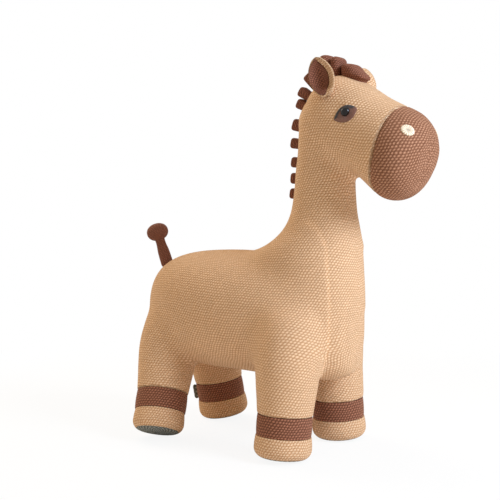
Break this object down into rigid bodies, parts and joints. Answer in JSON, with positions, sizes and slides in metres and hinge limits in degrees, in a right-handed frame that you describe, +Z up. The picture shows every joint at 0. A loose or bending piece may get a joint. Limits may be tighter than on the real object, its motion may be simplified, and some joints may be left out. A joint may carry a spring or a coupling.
{
  "type": "plush ride-on horse",
  "caption": "Large stuffed horse a child can sit on: knitted covers over a steel frame, thick splayed legs with flat soles, a tail that flips and ears that fold.",
  "frame": {"origin": "on the floor, under the middle of the horse's whole length and width", "axes": "+Z up, +X towards the nose, +Y to the horse's own left"},
  "size_m": [0.7982, 0.4142, 0.8989],
  "materials": {
    "beige_knit": "chunky matte knit in light beige yarn",
    "rose_knit": "chunky matte knit in rose-brown yarn",
    "brown_knit": "chunky matte knit in dark brown yarn",
    "cream_yarn": "embroidered cream yarn",
    "grey_canvas": "plain woven dark grey canvas",
    "brown_felt": "stitched brown felt",
    "black_plastic": "polished black",
    "white_plastic": "moulded, natural white",
    "painted_steel": "dark grey powder coat",
    "zinc_steel": "zinc plated",
    "plywood": "sanded birch plywood"
  },
  "bodies": {
    "horse": {"band_front_left": "brown_knit", "band_front_right": "brown_knit", "band_rear_left": "brown_knit", "band_rear_right": "brown_knit", "board_bolt_front_left": "zinc_steel", "board_bolt_front_right": "zinc_steel", "board_bolt_rear_left": "zinc_steel", "board_bolt_rear_right": "zinc_steel", "board_front_left": "plywood", "board_front_right": "plywood", "board_rear_left": "plywood", "board_rear_right": "plywood", "eye_bead_left": "black_plastic", "eye_bead_right": "black_plastic", "eye_patch_left": "brown_felt", "eye_patch_right": "brown_felt", "eye_washer_left": "white_plastic", "eye_washer_right": "white_plastic", "foot_front_left": "beige_knit", "foot_front_right": "beige_knit", "foot_rear_left": "beige_knit", "foot_rear_right": "beige_knit", "forelock": "brown_knit", "front_hoop": "painted_steel", "head": "beige_knit", "label_tab": "grey_canvas", "leg_front_left": "beige_knit", "leg_front_right": "beige_knit", "leg_rear_left": "beige_knit", "leg_rear_right": "beige_knit", "mane_tab_1": "brown_knit", "mane_tab_2": "brown_knit", "mane_tab_3": "brown_knit", "mane_tab_4": "brown_knit", "mane_tab_5": "brown_knit", "mane_tab_6": "brown_knit", "mane_tab_7": "brown_knit", "mane_tab_8": "brown_knit", "muzzle": "rose_knit", "neck": "beige_knit", "nostril_left": "cream_yarn", "nostril_right": "cream_yarn", "rear_hoop": "painted_steel", "sole_front_left": "grey_canvas", "sole_front_right": "grey_canvas", "sole_rear_left": "grey_canvas", "sole_rear_right": "grey_canvas", "spine_tube": "painted_steel", "torso": "beige_knit", "tube_cap_head": "black_plastic", "tube_cap_rear": "black_plastic"},
    "tail": {"tail_stem": "brown_knit", "tail_ball": "brown_knit"},
    "right_ear": {"ear_right": "beige_knit", "ear_lining_right": "brown_knit"},
    "left_ear": {"ear_left": "beige_knit", "ear_lining_left": "brown_knit"}
  },
  "joints": [
    {"name": "tail_flip", "type": "hinge", "parent": "horse", "child": "tail", "pos_m": [-0.34108, 0.00425, 0.41735], "axis": [0, 1, 0], "range_deg": [-40, 20], "stiffness_Nm_per_rad": 0.6},
    {"name": "right_ear_fold", "type": "hinge", "parent": "horse", "child": "right_ear", "pos_m": [0.17854, -0.07754, 0.81244], "axis": [0.9998, -0.018, 0.0088], "range_deg": [-10, 35], "stiffness_Nm_per_rad": 0.15},
    {"name": "left_ear_fold", "type": "hinge", "parent": "horse", "child": "left_ear", "pos_m": [0.18485, 0.0848, 0.81425], "axis": [-0.9988, 0.0427, 0.0222], "range_deg": [-10, 35], "stiffness_Nm_per_rad": 0.15}
  ]
}
